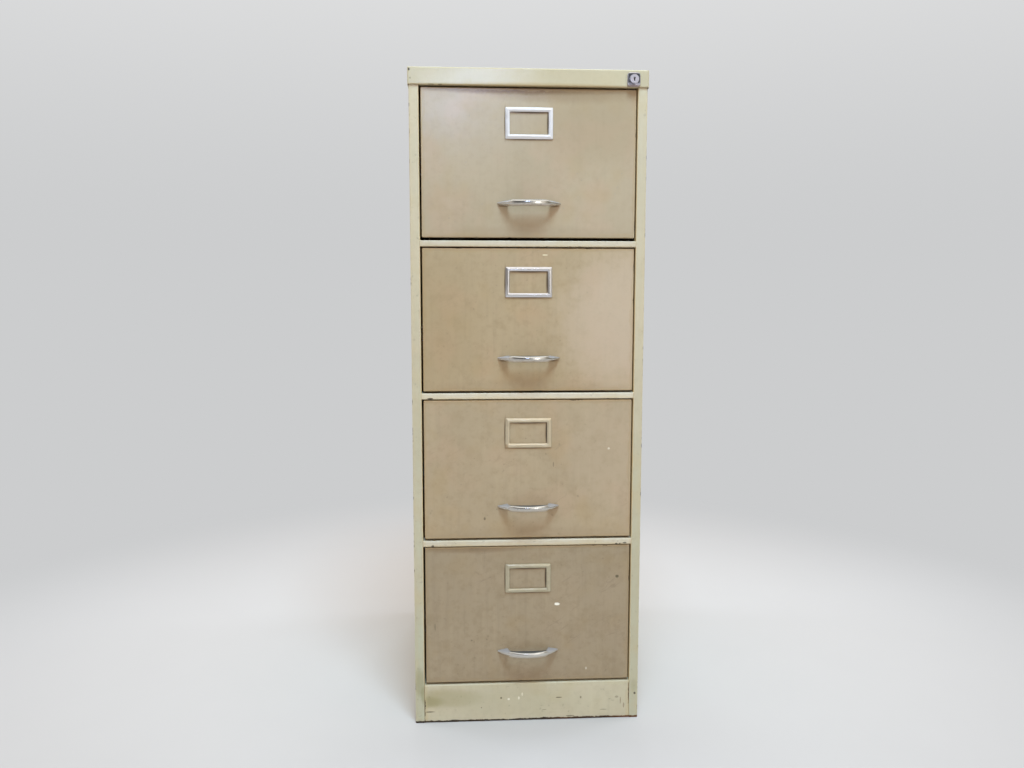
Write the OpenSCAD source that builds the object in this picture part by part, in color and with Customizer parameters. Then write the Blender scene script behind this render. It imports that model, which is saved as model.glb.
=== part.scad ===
// Four-drawer steel filing cabinet. Millimetres, +Z up, the drawers open towards -Y.
// The origin is on the floor, under the middle of the whole outline, handles included.
// Drawers are numbered from the top.

/* [Case] */
// Width of the case across the outer faces of its sides
case_w = 465; // [440:1:520]
// Depth of the case from the stile faces to the back panel
case_d = 617; // [540:1:700]
// Thickness of the sheet steel
sheet_t = 1; // [0.8:0.1:1.4]
// Outside radius of the folds in the sheet
fold_r = 2; // [1.6:0.1:3]
// Width of the stile face beside the drawers
stile_w = 18.8; // [16:0.1:24]
// Width of the flanges that join the panels
flange_w = 15; // [8:1:20]
// Height of the plinth under the bottom drawer
plinth_h = 81; // [60:1:110]
// Front to back length of the folds on the plinth and the divider rails
rail_d = 30; // [20:1:45]
// Height of the divider rail between two drawers
rail_h = 12; // [8:0.5:20]
// Clear height of a drawer bay
bay_h = 290.5; // [270:0.5:320]
// Height that the bottom bay has beyond that
bottom_bay_extra = 3.5; // [0:0.5:10]
// Height that the top bay has beyond that
top_bay_extra = 4.5; // [0:0.5:10]

/* [Top cap] */
// Height of the lip around the cap
cap_lip_h = 34; // [32:0.5:45]
// Distance that the cap stands out past each side
cap_side_overhang = 2; // [1.5:0.1:6]
// Distance that the cap stands out past the stiles
cap_front_overhang = 3; // [1.5:0.1:8]
// Distance that the cap stands out past the back
cap_back_overhang = 2; // [1.5:0.1:6]
// Radius of the cap's outer edges
cap_edge_r = 3; // [1.6:0.1:6]
// Depth of the fold under the cap's front lip
cap_return_d = 12; // [6:0.5:15]

/* [Drawer fronts] */
// Distance that the drawer fronts sit behind the stile faces
front_recess = 3; // [0:0.5:6]
// Depth of the front's folded pan
front_pan_d = 18; // [12:0.5:25]
// Radius of the front's outer edges
front_edge_r = 2; // [1.6:0.1:4]
// Gap at the left of a drawer front
front_gap_left = 3.6; // [1:0.1:6]
// Gap at the right of a drawer front
front_gap_right = 2.4; // [1:0.1:6]
// Gap above a drawer front
front_gap_top = 2.5; // [1:0.1:6]
// Gap below a drawer front
front_gap_bottom = 4; // [1:0.1:6]
// Gap below the top drawer's front, which is wider than the others
top_front_gap_bottom = 6; // [1:0.1:8]

/* [Handles and label frames] */
// Length of the bow handle
handle_l = 125; // [100:1:160]
// Distance that the handle stands out from the drawer front
handle_proj = 30; // [22:0.5:40]
// Height of the handle's bar
handle_h = 12.6; // [9:0.1:18]
// Thickness of the bar at the middle of the bow
handle_bar_t = 13.5; // [8:0.5:18]
// Thickness of the handle at its tips
handle_tip_t = 1.2; // [0.8:0.1:3]
// Length of each of the handle's two feet
handle_foot_l = 21; // [16:0.5:26]
// Length of the rounded corner between each foot and the bar's straight back
handle_corner_l = 9; // [5:0.5:14]
// Height of the handle's middle above the bottom of the front
handle_rise = 66; // [30:1:110]
// Diameter of the handle's screws
screw_d = 5; // [4:0.5:6]
// Width of the label frame
label_w = 93; // [70:1:120]
// Height of the label frame
label_h = 60; // [45:1:80]
// Width of the frame's border
label_border = 8.4; // [5:0.1:12]
// Thickness of the label frame
label_t = 4; // [3:0.1:6]
// Thickness of the slot behind the frame for the card
card_slot_t = 1.2; // [0.6:0.1:2]
// Distance of the label frame's middle below the top of the front
label_drop = 66.5; // [40:0.5:110]

/* [Drawer bodies] */
// Gap between the bay floor and the drawer's base
tray_floor_gap = 8; // [4:0.5:15]
// Room above the drawer's sides
tray_head_gap = 35; // [20:1:60]
// Room behind the drawer
tray_rear_gap = 41; // [20:1:70]
// Thickness of the hem along the drawer's upper edges
hem_t = 2; // [1.5:0.1:3]
// Height of the hem
hem_h = 8; // [5:0.5:12]
// Thickness of the rails for hanging files
file_rail_t = 2; // [1.5:0.1:4]
// Height of the rails for hanging files
file_rail_h = 14; // [10:0.5:20]
// Distance from the drawer's side to the file rail
file_rail_inset = 5; // [3:0.5:10]

/* [Runners] */
// Gap between the stile's inner edge and the cradle
cradle_stile_gap = 3.2; // [1:0.1:5]
// Thickness of the cradle bar
cradle_t = 3; // [2:0.1:4]
// Height of the cradle bar
cradle_h = 22; // [14:0.5:24]
// Gap between members of a runner
runner_gap = 0.5; // [0.3:0.05:1]
// Depth of the runner channels
channel_d = 8.5; // [7.6:0.1:11]
// Thickness of the runner channels
channel_t = 1.5; // [1:0.1:2]
// Height of a runner's middle above the drawer's base
runner_rise = 110; // [60:1:160]
// Diameter of the rollers
roller_d = 25; // [23:0.5:30]
// Width of the rollers
roller_w = 6; // [4:0.1:6]
// Gap between a roller and its channel
roller_play = 0.3; // [0.2:0.05:0.5]
// Distance from a channel's end to its end roller
roller_inset = 18; // [15:0.5:30]
// Distance that the fixed channels start behind the drawer body's front
runner_setback = 11; // [10.6:0.1:20]
// Length by which an open drawer's travel falls short of its runner
travel_margin = 8; // [0:1:60]
// Front to back width of the uprights
upright_w = 40; // [25:1:60]
// Distance from the runner's ends to the uprights
upright_inset = 28; // [20:1:60]

/* [Lock] */
// Width of the lock's square housing
lock_w = 26; // [22:0.5:30]
// Height of the lock's square housing
lock_h = 27; // [22:0.5:30]
// Thickness of the housing in front of the lip
lock_t = 6; // [4:0.5:9]
// Height of the lock's middle above the bottom of the lip
lock_rise = 14.5; // [14:0.1:18]
// Diameter of the push barrel
barrel_d = 17; // [14:0.1:17.4]
// Radial gap between the barrel and its housing
barrel_play = 0.15; // [0.1:0.01:0.25]
// Thickness of the housing's sleeve
sleeve_wall = 0.75; // [0.5:0.05:1]
// Gap between the sleeve and the stile
sleeve_stile_gap = 0.6; // [0.3:0.1:3]
// Distance that the barrel stands out of its housing when unlocked
barrel_proud = 4; // [3:0.5:8]
// Distance that the barrel is pushed to lock the drawers
lock_travel = 8; // [6:0.5:10]
// Diameter of the key plug
plug_d = 12; // [9:0.1:13]
// Width of the lock bar
lock_bar_w = 10; // [6:0.5:12]
// Thickness of the lock bar
lock_bar_t = 2; // [1.5:0.1:3]
// Sliding gap around the lock bar and along its ramp
lock_bar_gap = 0.3; // [0.2:0.05:0.6]
// Thickness of the hooks that hold the drawers
hook_t = 3; // [2:0.1:5]
// Height of a hook above its runner's middle
hook_rise = 50; // [40:1:80]
// Gap between a raised hook and the drawer's catch
hook_clear = 1.5; // [0.5:0.1:3]
// Thickness of the drawer's catch
catch_t = 2.5; // [1.5:0.1:4]
// Diameter of the lock spring's wire
spring_wire_d = 1.2; // [0.8:0.1:1.6]
// Outside diameter of the lock spring
spring_d = 7.6; // [5:0.1:9]
// Number of turns in the lock spring
spring_turns = 6; // [3:1:8]

/* [Hidden] */
drawers = 4;
fold_steps = 4;
cream = [0.82, 0.79, 0.67];
beige = [0.68, 0.61, 0.50];
chrome = [0.80, 0.81, 0.82];
zinc = [0.62, 0.63, 0.64];
nylon = [0.88, 0.86, 0.79];
overlap = 1;
seam_gap = 0.1;

// Heights. The case is as tall as its plinth, bays, rails and cap together.
case_h = plinth_h + drawers * bay_h + (drawers - 1) * rail_h + bottom_bay_extra + top_bay_extra + cap_lip_h;
// The panels stop where they clear the rounded inside of the cap's edges.
cap_room = min(cap_side_overhang, cap_back_overhang) - sheet_t;
cap_inner_r = cap_edge_r - sheet_t;
cap_reach = max(cap_inner_r - cap_room, 0);
cap_drop = cap_inner_r - sqrt(pow(cap_inner_r, 2) - pow(cap_reach, 2));
panel_h = case_h - sheet_t - cap_drop - seam_gap;
lip_z = case_h - cap_lip_h;
tray_h = bay_h - tray_floor_gap - tray_head_gap;
function bay_floor(i) = i == drawers ? plinth_h
    : plinth_h + bottom_bay_extra + (drawers - i) * (bay_h + rail_h);
function bay_ceiling(i) = i == 1 ? lip_z : bay_floor(i - 1) - rail_h;
function front_z0(i) = bay_floor(i) + (i == 1 ? top_front_gap_bottom : front_gap_bottom);
function front_z1(i) = bay_ceiling(i) - front_gap_top;
function tray_z(i) = bay_floor(i) + tray_floor_gap;
function runner_z(i) = tray_z(i) + runner_rise;
function hook_z(i) = runner_z(i) + hook_rise;

// Depths, from the front of the handles to the back of the cap.
reach = max(handle_proj - front_recess, cap_front_overhang);
case_y0 = -(reach + case_d + cap_back_overhang) / 2 + reach;
case_y1 = case_y0 + case_d;
front_y = case_y0 + front_recess;
tray_y0 = front_y + front_pan_d;
tray_y1 = case_y1 - tray_rear_gap;
stile_return_d = front_recess + front_pan_d - sheet_t;
panel_y1 = case_y1 - sheet_t;

// Widths, from the stile inwards through the runner to the drawer's side.
stile_x = case_w / 2 - stile_w;
front_x0 = -stile_x + front_gap_left;
front_x1 = stile_x - front_gap_right;
front_x = (front_x0 + front_x1) / 2;
cradle_x1 = stile_x - cradle_stile_gap;
cradle_x0 = cradle_x1 - cradle_t;
case_channel_x0 = cradle_x1 + runner_gap;
case_channel_x1 = case_channel_x0 + channel_d;
drawer_channel_x1 = cradle_x0 - runner_gap;
tray_x = drawer_channel_x1 - channel_d;

// Runners, along the drawer.
runner_step = 2 * sheet_t;
drawer_channel_y0 = tray_y0 + sheet_t + runner_step;
runner_l = tray_y1 - runner_step - drawer_channel_y0;
case_channel_y0 = tray_y0 + runner_setback;
cradle_y0 = case_channel_y0 - runner_step;
drawer_travel = runner_l - travel_margin;
channel_h = roller_d + 2 * roller_play + 2 * channel_t;
upright_t = channel_t;

// Lock. The barrel pushes in along +Y, and its 45 degree arm sends the bar down by as much.
sleeve_r = barrel_d / 2 + barrel_play + sleeve_wall;
lock_x = stile_x - sleeve_stile_gap - sleeve_r;
lock_z = lip_z + lock_rise;
lip_y = case_y0 - cap_front_overhang;
barrel_y0 = lip_y - lock_t - barrel_proud;
hook_y = tray_y0 + 2 * sheet_t;
catch_y = hook_y + hook_t + hook_clear;
lock_bar_x = (stile_x + case_w / 2) / 2;
lock_bar_y = case_y0 + sheet_t + lock_bar_gap;
arm_y0 = hook_y + hook_t;
arm_d = lock_travel;
arm_y1 = arm_y0 + arm_d;
ramp_y0 = arm_y0 - 2;
ramp_d = arm_d + lock_travel + 4;
ramp_z0 = lip_z - 4;
arm_lift = 2 * lock_bar_gap;
arm_z0 = ramp_z0 + arm_y0 - ramp_y0 + arm_lift;
arm_z1 = lock_z + barrel_d / 4;
spring_x = lock_bar_x + lock_bar_w / 2 - sheet_t;
spring_z = (arm_z0 + arm_d + arm_z1) / 2;
front_upright_y = case_channel_y0 + upright_inset;
rear_upright_y = case_channel_y0 + runner_l - upright_inset - upright_w;

CASE_NODES = ["left_side", "right_side", "back_panel", "top_cap", "base_pan", "plinth",
    "divider_rail_1", "divider_rail_2", "divider_rail_3", "uprights",
    "lock_housing", "lock_barrel", "lock_plug", "lock_bar", "lock_hooks", "lock_spring"];
DRAWER_NODES = ["drawer_front", "drawer_body", "label_frame", "handle", "handle_screws", "file_rails",
    "drawer_channels", "cradles", "cradle_rollers", "case_channels", "lock_catch"];
NODES = concat(CASE_NODES, [for (i = [1:drawers]) for (part = DRAWER_NODES) str(part, "_", i)]);
node = "all";

// Outlines

function unit(v) = v / norm(v);
function left_of(v) = [-v.y, v.x];
function turned(v, a) = [v.x * cos(a) - v.y * sin(a), v.x * sin(a) + v.y * cos(a)];

// One fold of a line that is moved to its left by off, as an arc around the fold's centre.
function fold(p, q, s, r, off) =
    let (a = unit(q - p), b = unit(s - q), angle = atan2(cross(a, b), a * b), way = sign(angle))
    let (start = q - a * r * tan(abs(angle) / 2), centre = start + way * r * left_of(a))
    [for (k = [0:fold_steps]) centre + turned(-way * (r - way * off) * left_of(a), angle * k / fold_steps)];

function folded_line(path, r, off) =
    let (last = len(path) - 1)
    concat([path[0] + off * left_of(unit(path[1] - path[0]))],
        [for (k = [1:last - 1]) each fold(path[k - 1], path[k], path[k + 1], r, off)],
        [path[last] + off * left_of(unit(path[last] - path[last - 1]))]);

function reversed(list) = [for (k = [len(list) - 1:-1:0]) list[k]];

// A folded sheet, seen on its edge. The path is its outer face, and the sheet lies to the left of it.
module folded_sheet(path, t = sheet_t, r = fold_r)
    polygon(concat(folded_line(path, r, 0), reversed(folded_line(path, r, t))));

function corner(point, inwards, r, a) = r <= 0 ? [point]
    : [for (k = [0:fold_steps]) let (b = a + 90 * k / fold_steps) point + r * inwards + r * [cos(b), sin(b)]];

// A rectangle with its own radius at each corner, anticlockwise from the lower left.
function rounded(lo, hi, r) = concat(
    corner(lo, [1, 1], r[0], 180),
    corner([hi.x, lo.y], [-1, 1], r[1], 270),
    corner(hi, [-1, -1], r[2], 0),
    corner([lo.x, hi.y], [1, -1], r[3], 90));

// Solids

module extrude_x(x0, x1) translate([x0, 0, 0]) rotate([90, 0, 90]) linear_extrude(x1 - x0) children();
module extrude_y(y0, y1) translate([0, y1, 0]) rotate([90, 0, 0]) linear_extrude(y1 - y0) children();
module extrude_z(z0, z1) translate([0, 0, z0]) linear_extrude(z1 - z0) children();
module block(lo, hi) translate(lo) cube(hi - lo);
module bar_y(x, y0, y1, z, r)
    translate([x, y0, z]) rotate([-90, 0, 0]) cylinder(h = y1 - y0, r = r, $fn = 64);
module both_sides() {
    children();
    mirror([1, 0, 0]) children();
}

// A box whose edges are rounded as its plan, its front view and its side view say.
module soft_box(lo, hi, plan, face, side) intersection() {
    extrude_z(lo.z, hi.z) polygon(rounded([lo.x, lo.y], [hi.x, hi.y], plan));
    extrude_y(lo.y, hi.y) polygon(rounded([lo.x, lo.z], [hi.x, hi.z], face));
    extrude_x(lo.x, hi.x) polygon(rounded([lo.y, lo.z], [hi.y, hi.z], side));
}

// Case

// The right-hand side: stile, side sheet and rear flange are one folded sheet.
module side_panel() color(cream) {
    top_flange_y0 = case_y0 + stile_return_d + flange_w;
    top_flange_y1 = panel_y1 - 2 * flange_w;
    extrude_z(0, panel_h) folded_sheet([
        [stile_x, case_y0 + stile_return_d],
        [stile_x, case_y0],
        [case_w / 2, case_y0],
        [case_w / 2, panel_y1],
        [case_w / 2 - flange_w, panel_y1]]);
    for (z = [0, panel_h - sheet_t])
        block([case_w / 2 - flange_w, top_flange_y0, z],
            [case_w / 2 - sheet_t / 2, top_flange_y1, z + sheet_t]);
}

module back_panel() color(cream)
    block([-case_w / 2 + fold_r, panel_y1, 0], [case_w / 2 - fold_r, case_y1, panel_h]);

module cap_box(inset, z0) {
    r = cap_edge_r - inset;
    soft_box(
        [-case_w / 2 - cap_side_overhang + inset, lip_y + inset, z0],
        [case_w / 2 + cap_side_overhang - inset, case_y1 + cap_back_overhang - inset, case_h - inset],
        plan = [r, r, r, r], face = [0, 0, r, r], side = [r, 0, r, r]);
}

module top_cap() color(cream) difference() {
    cap_box(0, lip_z);
    cap_box(sheet_t, lip_z + sheet_t);
    // The front lip folds back between the stiles, and the rest of the underside is open.
    inner_x = case_w / 2 + cap_side_overhang - sheet_t;
    inner_y = case_y1 + cap_back_overhang - sheet_t;
    cut_z = [lip_z - overlap, lip_z + cap_edge_r];
    block([-inner_x, lip_y + cap_return_d, cut_z[0]], [inner_x, inner_y, cut_z[1]]);
    both_sides() block([stile_x - runner_gap, lip_y + sheet_t, cut_z[0]], [inner_x, inner_y, cut_z[1]]);
    bar_y(lock_x, lip_y - overlap, lip_y + sheet_t + overlap, lock_z, sleeve_r + barrel_play);
}

module base_pan() color(cream) {
    z1 = plinth_h - sheet_t;
    x1 = case_w / 2 - sheet_t;
    extrude_y(tray_y0, panel_y1 - sheet_t - fold_r) folded_sheet([
        [x1, z1 - flange_w], [x1, z1], [-x1, z1], [-x1, z1 - flange_w]]);
}

module plinth() color(cream) {
    side_gap = lock_bar_gap;
    extrude_x(-stile_x + side_gap, stile_x - side_gap) folded_sheet([
        [case_y0 + rail_d, plinth_h], [case_y0, plinth_h], [case_y0, 0], [case_y0 + rail_d, 0]]);
}

// The rail above bay i + 1.
module divider_rail(i) color(cream) {
    z1 = bay_floor(i);
    extrude_x(-stile_x, stile_x) folded_sheet([
        [case_y0 + rail_d, z1], [case_y0, z1], [case_y0, z1 - rail_h], [case_y0 + rail_d, z1 - rail_h]]);
}

// Two posts at each side carry the runners.
module uprights() color(zinc) both_sides()
    for (y = [front_upright_y, rear_upright_y])
        extrude_z(plinth_h - sheet_t, panel_h - 3 * sheet_t) folded_sheet([
            [case_w / 2 - sheet_t, y + upright_w],
            [case_channel_x1, y + upright_w],
            [case_channel_x1, y],
            [case_w / 2 - sheet_t, y]], t = upright_t);

// Drawer

module front_box(i, inset) {
    r = front_edge_r - inset;
    soft_box(
        [front_x0 + inset, front_y + inset, front_z0(i) + inset],
        [front_x1 - inset, tray_y0 + (inset > 0 ? overlap : 0), front_z1(i) - inset],
        plan = [r, r, 0, 0], face = [r, r, r, r], side = [r, 0, 0, r]);
}

function handle_z(i) = front_z0(i) + handle_rise;
screw_x = (handle_l - handle_foot_l) / 2;
screw_play = 0.3;
screw_grip = 6;

module at_screws(i) for (way = [-1, 1]) translate([front_x + way * screw_x, 0, handle_z(i)]) children();

module drawer_front(i) color(beige) difference() {
    front_box(i, 0);
    front_box(i, sheet_t);
    at_screws(i) bar_y(0, front_y - overlap, front_y + sheet_t + overlap, 0, screw_d / 2 + screw_play);
}

// Sides, base, back and inner front are separate sheets, spot welded along hairline seams.
module drawer_body(i) color(cream) {
    z0 = tray_z(i);
    z1 = z0 + tray_h;
    inner_x = tray_x - sheet_t - seam_gap;
    y0 = tray_y0 + sheet_t + seam_gap;
    back_y0 = tray_y1 - sheet_t;
    both_sides() {
        block([tray_x - sheet_t, y0, z0], [tray_x, tray_y1, z1]);
        block([tray_x - hem_t, y0, z1 - hem_h], [tray_x, back_y0 - seam_gap, z1]);
    }
    block([-inner_x, y0, z0], [inner_x, back_y0 - seam_gap, z0 + sheet_t]);
    block([-inner_x, back_y0, z0], [inner_x, tray_y1, z1]);
    block([front_x0 + sheet_t / 2, tray_y0, front_z0(i) + sheet_t / 2],
        [front_x1 - sheet_t / 2, tray_y0 + sheet_t, front_z1(i) - sheet_t / 2]);
}

module file_rails(i) color(zinc) both_sides() {
    x1 = tray_x - file_rail_inset;
    z1 = tray_z(i) + tray_h;
    block([x1 - file_rail_t, tray_y0 + sheet_t, z1 - file_rail_h], [x1, tray_y1 - sheet_t, z1]);
}

label_r = label_t * 0.55;
window_w = label_w - 2 * label_border;
window_h = label_h - 2 * label_border;

module label_frame(i) color(chrome) {
    z = front_z1(i) - label_drop;
    slot = label_border / 2;
    difference() {
        soft_box([front_x - label_w / 2, front_y - label_t, z - label_h / 2],
            [front_x + label_w / 2, front_y, z + label_h / 2],
            plan = [label_r, label_r, 0, 0], face = [0, 0, 0, 0], side = [label_r, 0, 0, label_r]);
        block([front_x - window_w / 2, front_y - label_t - overlap, z - window_h / 2],
            [front_x + window_w / 2, front_y + overlap, z + window_h / 2]);
        // The card slides in behind the border from the right.
        block([front_x - label_w / 2 + slot, front_y - card_slot_t, z - label_h / 2 + slot],
            [front_x + label_w / 2 + overlap, front_y + overlap, z + label_h / 2 - slot]);
    }
}

// The bow's front is one arc from tip to tip. Its back is straight, and rounds into the two feet.
bow_rise = handle_proj - handle_tip_t;
bow_r = (pow(handle_l / 2, 2) + pow(bow_rise, 2)) / (2 * bow_rise);
bow_angle = asin(handle_l / 2 / bow_r);
gap_half = handle_l / 2 - handle_foot_l;
gap_depth = handle_proj - handle_bar_t;
straight_half = gap_half - handle_corner_l;
bow_stations = 48;
bow_sides = 10;
bow_fullness = 0.7;
tip_fade = 0.75;
tip_curve = 1.5;
function bow_front(u) = handle_tip_t + sqrt(pow(bow_r, 2) - pow(u, 2)) - (bow_r - bow_rise);
function past_straight(u, end) = max(0, min(1, (abs(u) - straight_half) / (end - straight_half)));
function bow_back(u) = gap_depth * sqrt(1 - pow(past_straight(u, gap_half), 2));
function bow_half_h(u) = handle_h / 2 * (1 - tip_fade * pow(past_straight(u, handle_l / 2), tip_curve));
function bow_section(u) =
    let (back = bow_back(u), depth = max(bow_front(u), handle_tip_t) - back)
    [for (k = [0:bow_sides]) let (a = -90 + 180 * k / bow_sides)
        [u, -back - depth * pow(max(cos(a), 0), bow_fullness), bow_half_h(u) * sin(a)]];

// Skins a list of sections that have the same number of points, with flat ends.
module skinned(sections) {
    n = len(sections[0]);
    last = len(sections) - 1;
    sides = [for (s = [0:last - 1]) for (k = [0:n - 1]) let (a = s * n + k, b = s * n + (k + 1) % n)
        each [[a, b, a + n], [b, b + n, a + n]]];
    polyhedron(
        points = [for (section = sections) each section],
        faces = concat([[for (k = [n - 1:-1:0]) k]], sides, [[for (k = [0:n - 1]) last * n + k]]));
}

module handle(i) color(chrome) translate([front_x, front_y, handle_z(i)]) difference() {
    skinned([for (s = [0:bow_stations])
        bow_section(bow_r * sin(bow_angle * (2 * s / bow_stations - 1)))]);
    for (way = [-1, 1]) bar_y(way * screw_x, -screw_grip, overlap, 0, screw_d / 2);
}

module handle_screws(i) color(zinc) at_screws(i) {
    thread_play = 0.05;
    head_t = screw_d * 0.6;
    bar_y(0, front_y - screw_grip + overlap, front_y + sheet_t, 0, screw_d / 2 - thread_play);
    bar_y(0, front_y + sheet_t, front_y + sheet_t + head_t, 0, screw_d * 0.95);
}

// Runner

// A channel whose web stands at x0 and whose mouth is at x1.
module channel(x0, x1, y0, y1, z) {
    way = sign(x1 - x0) * channel_h / 2;
    path = [[x1, z + way], [x0, z + way], [x0, z - way], [x1, z - way]];
    extrude_y(y0, y1) folded_sheet(path, t = channel_t);
}

module drawer_channels(i) color(zinc) both_sides()
    channel(tray_x, drawer_channel_x1, drawer_channel_y0, drawer_channel_y0 + runner_l, runner_z(i));

module case_channels(i) color(zinc) both_sides()
    channel(case_channel_x1, case_channel_x0, case_channel_y0, case_channel_y0 + runner_l, runner_z(i));

// The cradle is the middle member, which travels half as far as its drawer.
module cradles(i) color(zinc) both_sides()
    block([cradle_x0, cradle_y0, runner_z(i) - cradle_h / 2],
        [cradle_x1, cradle_y0 + runner_l, runner_z(i) + cradle_h / 2]);

module roller(x, way, y, z) translate([x, y, z]) rotate([0, way * 90, 0]) {
    boss_h = runner_gap;
    cylinder(h = boss_h + roller_w, d = roller_d / 2, $fn = 48);
    translate([0, 0, boss_h]) cylinder(h = roller_w, d = roller_d, $fn = 64);
}

// Two rollers run in the fixed channel and two in the drawer's.
module cradle_rollers(i) color(nylon) both_sides() {
    for (y = [case_channel_y0 + drawer_travel / 2 + travel_margin, cradle_y0 + runner_l - roller_inset])
        roller(cradle_x1, 1, y, runner_z(i));
    for (y = [cradle_y0 + roller_inset, drawer_channel_y0 + runner_l - drawer_travel / 2 - roller_inset])
        roller(cradle_x0, -1, y, runner_z(i));
}

// Lock

module lock_housing() color(chrome) difference() {
    r = lock_t * 0.7;
    sleeve_l = cap_front_overhang + stile_return_d - sheet_t;
    union() {
        soft_box([lock_x - lock_w / 2, lip_y - lock_t, lock_z - lock_h / 2],
            [lock_x + lock_w / 2, lip_y, lock_z + lock_h / 2],
            plan = [r, r, 0, 0], face = [r, r, r, r], side = [r, 0, 0, r]);
        bar_y(lock_x, lip_y - overlap, lip_y + sleeve_l, lock_z, sleeve_r);
    }
    bar_y(lock_x, lip_y - lock_t - overlap, lip_y + sleeve_l + overlap, lock_z, barrel_d / 2 + barrel_play);
}

plug_play = 0.05;
plug_l = 16;
key_w = 1.6;
key_h = 7;

module lock_barrel() color(chrome) {
    difference() {
        bar_y(lock_x, barrel_y0, arm_y1, lock_z, barrel_d / 2);
        bar_y(lock_x, barrel_y0 - overlap, barrel_y0 + plug_l + plug_play, lock_z, plug_d / 2 + plug_play);
    }
    // The arm reaches behind the stile to the lock bar's ramp.
    extrude_x(lock_x - barrel_d / 4, spring_x + spring_d / 2) polygon([
        [arm_y0, arm_z0], [arm_y1, arm_z0 + arm_d], [arm_y1, arm_z1], [arm_y0, arm_z1]]);
}

module lock_plug() color(chrome) difference() {
    bar_y(lock_x, barrel_y0, barrel_y0 + plug_l, lock_z, plug_d / 2);
    block([lock_x - key_w / 2, barrel_y0 - overlap, lock_z - key_h / 2],
        [lock_x + key_w / 2, barrel_y0 + plug_l - 2 * overlap, lock_z + key_h / 2]);
}

lock_bar_x0 = lock_bar_x - lock_bar_w / 2;
lock_bar_x1 = lock_bar_x + lock_bar_w / 2;
lock_bar_y1 = lock_bar_y + lock_bar_t;

module lock_bar() color(zinc) {
    block([lock_bar_x0, lock_bar_y, runner_z(drawers)], [lock_bar_x1, lock_bar_y1, ramp_z0]);
    // The ramp stands up behind the stile, under the barrel's arm.
    extrude_x(lock_bar_x0, lock_bar_x0 + hook_t) polygon([
        [lock_bar_y, ramp_z0 - ramp_d],
        [ramp_y0 + ramp_d, ramp_z0 - ramp_d],
        [ramp_y0 + ramp_d, ramp_z0 + ramp_d],
        [ramp_y0, ramp_z0],
        [lock_bar_y, ramp_z0]]);
}

// One bracket to each drawer is welded to the bar and reaches in behind the drawer's front.
module lock_hooks() color(zinc) for (i = [1:drawers]) {
    x1 = lock_bar_x0 + hook_t;
    y1 = hook_y + hook_t;
    z0 = hook_z(i);
    z1 = z0 + lock_travel + hook_clear;
    block([lock_bar_x0, lock_bar_y1, z0], [x1, y1, z1]);
    block([cradle_x1 - 2 * catch_t, hook_y, z0], [x1, y1, z1]);
}

// A bracket on the drawer's right-hand side. A lowered hook stands in front of its lug.
module lock_catch(i) color(zinc) {
    z1 = hook_z(i) - hook_clear;
    z0 = z1 - lock_travel - hook_clear;
    block([tray_x, catch_y, z0], [tray_x + channel_t, catch_y + upright_w, z1]);
    block([tray_x, catch_y, z0], [cradle_x1, catch_y + catch_t, z1]);
}

// The spring is one unbroken wire between the barrel's arm and the front upright.
spring_rings = 8;
spring_sides = 6;
spring_pitch = (front_upright_y - arm_y1 - 2 * spring_wire_d) / spring_turns;
spring_gap = spring_pitch - spring_wire_d;
function wire_section(k) =
    let (a = 360 * k / spring_rings, mean_r = (spring_d - spring_wire_d) / 2)
    [for (j = [0:spring_sides - 1]) let (b = -360 * j / spring_sides, r = mean_r + spring_wire_d / 2 * cos(b))
        [spring_x + r * cos(a),
            arm_y1 + spring_wire_d + spring_pitch * k / spring_rings + spring_wire_d / 2 * sin(b),
            spring_z + r * sin(a)]];

module lock_spring() color(zinc) {
    echo(least_gap_between_spring_turns = spring_gap);
    skinned([for (k = [0:spring_turns * spring_rings]) wire_section(k)]);
}

function shown(name) = node == "all" || node == name;

if (shown("left_side")) mirror([1, 0, 0]) side_panel();
if (shown("right_side")) side_panel();
if (shown("back_panel")) back_panel();
if (shown("top_cap")) top_cap();
if (shown("base_pan")) base_pan();
if (shown("plinth")) plinth();
for (i = [1:drawers - 1]) if (shown(str("divider_rail_", i))) divider_rail(i);
if (shown("uprights")) uprights();
if (shown("lock_housing")) lock_housing();
if (shown("lock_barrel")) lock_barrel();
if (shown("lock_plug")) lock_plug();
if (shown("lock_bar")) lock_bar();
if (shown("lock_hooks")) lock_hooks();
if (shown("lock_spring")) lock_spring();
for (i = [1:drawers]) {
    if (shown(str("drawer_front_", i))) drawer_front(i);
    if (shown(str("drawer_body_", i))) drawer_body(i);
    if (shown(str("label_frame_", i))) label_frame(i);
    if (shown(str("handle_", i))) handle(i);
    if (shown(str("handle_screws_", i))) handle_screws(i);
    if (shown(str("file_rails_", i))) file_rails(i);
    if (shown(str("drawer_channels_", i))) drawer_channels(i);
    if (shown(str("cradles_", i))) cradles(i);
    if (shown(str("cradle_rollers_", i))) cradle_rollers(i);
    if (shown(str("case_channels_", i))) case_channels(i);
    if (shown(str("lock_catch_", i))) lock_catch(i);
}
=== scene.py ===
# %% [markdown]
# # A four-drawer steel filing cabinet
# The cabinet is a tall case of folded sheet steel with four drawers, an old one: cream enamel on the case,
# coffee-coloured enamel on the drawer fronts, bright plated handles and label frames, and years of small
# knocks. The solids are loaded first and stay where they are. Everything after that is finish: paint,
# plating and wear, and finer shapes for the few plated pieces that catch the eye. All lengths are metres,
# the floor is z = 0, and the drawers open towards -Y.

# %% Load the solids
import math

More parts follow.
